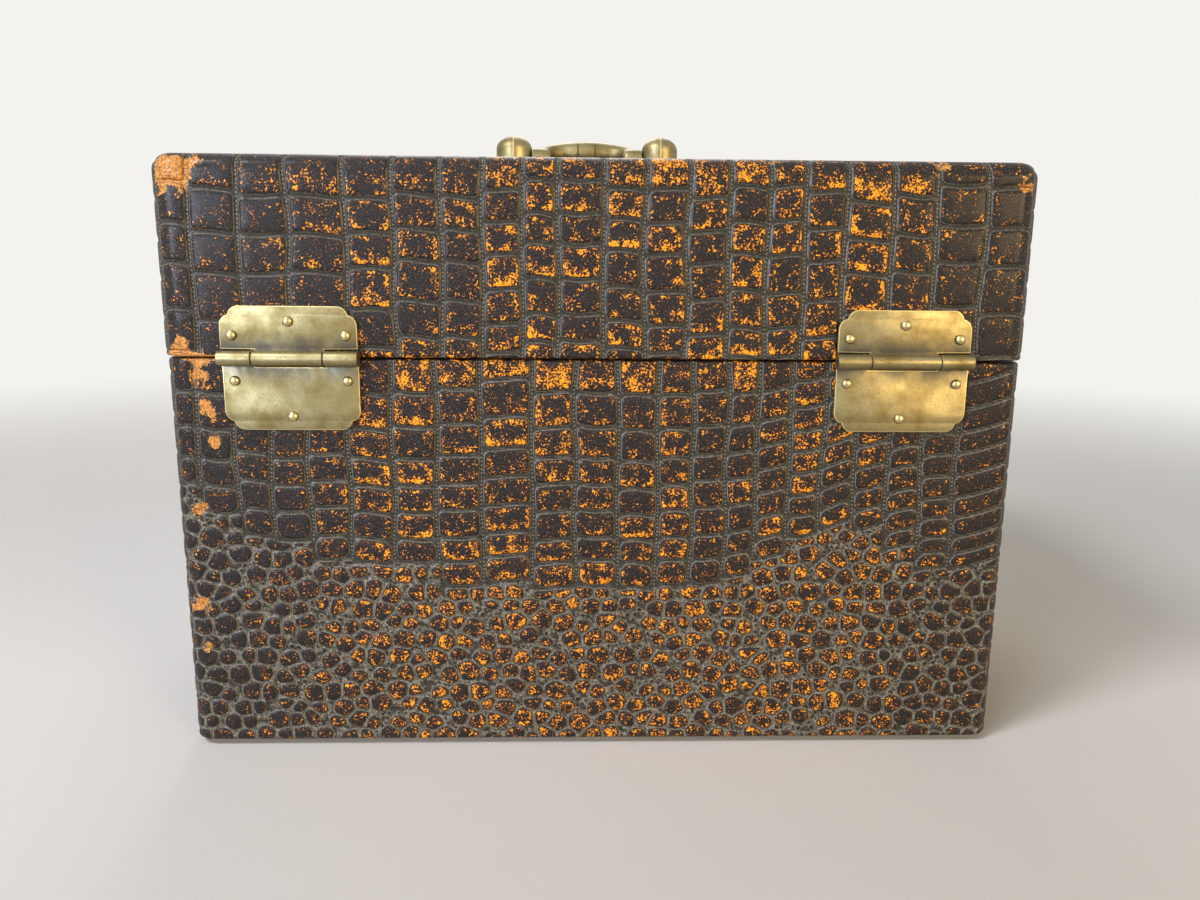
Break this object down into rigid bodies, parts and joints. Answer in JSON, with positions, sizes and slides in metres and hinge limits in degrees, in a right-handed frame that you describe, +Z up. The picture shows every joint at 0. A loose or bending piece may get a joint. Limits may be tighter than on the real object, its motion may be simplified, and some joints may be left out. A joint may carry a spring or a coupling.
{
  "type": "vanity case",
  "caption": "Box-shaped vanity case in embossed leather with a hinged lid, brass hinges and latches, and a small folding bail handle.",
  "frame": {"origin": "bottom centre of the whole object's bounding box, on the surface that the feet stand on", "axes": "+X along the case's width, +Y out of the back with the hinges, +Z up; the latches face -Y"},
  "size_m": [0.318, 0.2292, 0.2467],
  "materials": {
    "embossed_leather": "glossy embossed scales, near-black over orange tan",
    "plywood": "raw",
    "lining_cloth": "woven cloth",
    "aged_brass": "aged, satin",
    "nail_brass": "polished by wear",
    "spring_steel": "plain",
    "mirror_frame_leather": "smooth",
    "mirror_glass": "silvered"
  },
  "bodies": {
    "base": {"base_board": "plywood", "base_cover": "embossed_leather", "base_lining": "lining_cloth", "base_rim": "lining_cloth", "foot_front_left": "aged_brass", "foot_front_right": "aged_brass", "foot_back_left": "aged_brass", "foot_back_right": "aged_brass", "hinge_base_leaf_left": "aged_brass", "hinge_pin_left": "aged_brass", "nail_hinge_base_left_1": "nail_brass", "nail_hinge_base_left_2": "nail_brass", "nail_hinge_base_left_3": "nail_brass", "lock_case_left": "aged_brass", "latch_spring_left": "spring_steel", "nail_lock_left_1": "nail_brass", "nail_lock_left_2": "nail_brass", "hinge_base_leaf_right": "aged_brass", "hinge_pin_right": "aged_brass", "nail_hinge_base_right_1": "nail_brass", "nail_hinge_base_right_2": "nail_brass", "nail_hinge_base_right_3": "nail_brass", "lock_case_right": "aged_brass", "latch_spring_right": "spring_steel", "nail_lock_right_1": "nail_brass", "nail_lock_right_2": "nail_brass", "stay_base_bracket": "aged_brass"},
    "lid": {"lid_board": "plywood", "lid_cover": "embossed_leather", "lid_lining": "lining_cloth", "mirror_frame": "mirror_frame_leather", "mirror": "mirror_glass", "hinge_lid_leaf_left": "aged_brass", "nail_hinge_lid_left_1": "nail_brass", "nail_hinge_lid_left_2": "nail_brass", "nail_hinge_lid_left_3": "nail_brass", "keeper_left": "aged_brass", "hasp_pin_left": "aged_brass", "nail_keeper_left_1": "nail_brass", "nail_keeper_left_2": "nail_brass", "handle_lug_left": "aged_brass", "hinge_lid_leaf_right": "aged_brass", "nail_hinge_lid_right_1": "nail_brass", "nail_hinge_lid_right_2": "nail_brass", "nail_hinge_lid_right_3": "nail_brass", "keeper_right": "aged_brass", "hasp_pin_right": "aged_brass", "nail_keeper_right_1": "nail_brass", "nail_keeper_right_2": "nail_brass", "handle_lug_right": "aged_brass", "stay_lid_bracket": "aged_brass"},
    "hasp_left": {"hasp_left": "aged_brass"},
    "latch_button_left": {"latch_button_left": "aged_brass"},
    "hasp_right": {"hasp_right": "aged_brass"},
    "latch_button_right": {"latch_button_right": "aged_brass"},
    "bail": {"bail": "aged_brass"},
    "stay_lower": {"stay_lower_link": "aged_brass", "stay_elbow_rivet": "aged_brass"},
    "stay_upper": {"stay_upper_link": "aged_brass"}
  },
  "joints": [
    {"name": "lid_hinge", "type": "hinge", "parent": "base", "child": "lid", "pos_m": [0, 0.1118, 0.1522], "axis": [-1, 0, 0], "range_deg": [0, 100]},
    {"name": "bail_swing", "type": "hinge", "parent": "lid", "child": "bail", "pos_m": [0.0037, 0.00115, 0.23581], "axis": [-1, 0, 0], "range_deg": [0, 154.4]},
    {"name": "hasp_swing_left", "type": "hinge", "parent": "lid", "child": "hasp_left", "pos_m": [-0.095, -0.10885, 0.1565], "axis": [-1, 0, 0], "range_deg": [0, 100]},
    {"name": "hasp_swing_right", "type": "hinge", "parent": "lid", "child": "hasp_right", "pos_m": [0.095, -0.10885, 0.1565], "axis": [-1, 0, 0], "range_deg": [0, 100]},
    {"name": "button_slide_left", "type": "slide", "parent": "base", "child": "latch_button_left", "axis": [-1, 0, 0], "range_m": [0, 0.004], "stiffness_N_per_m": 250, "springref_m": -0.002, "deforming": ["latch_spring_left"]},
    {"name": "button_slide_right", "type": "slide", "parent": "base", "child": "latch_button_right", "axis": [1, 0, 0], "range_m": [0, 0.004], "stiffness_N_per_m": 250, "springref_m": -0.002, "deforming": ["latch_spring_right"]},
    {"name": "stay_lower_turn", "type": "hinge", "parent": "base", "child": "stay_lower", "pos_m": [0.147, 0.0518, 0.1382], "axis": [-1, 0, 0], "range_deg": [0, 125.4]},
    {"name": "stay_upper_turn", "type": "hinge", "parent": "stay_lower", "child": "stay_upper", "pos_m": [0.1455, -0.00139, 0.1522], "axis": [-1, 0, 0], "range_deg": [-150.7, 0]}
  ],
  "couplings": [
    {"joint": "stay_lower_turn", "follows": "lid_hinge", "ratio": 1.2526},
    {"joint": "stay_upper_turn", "follows": "lid_hinge", "ratio": -1.505}
  ]
}
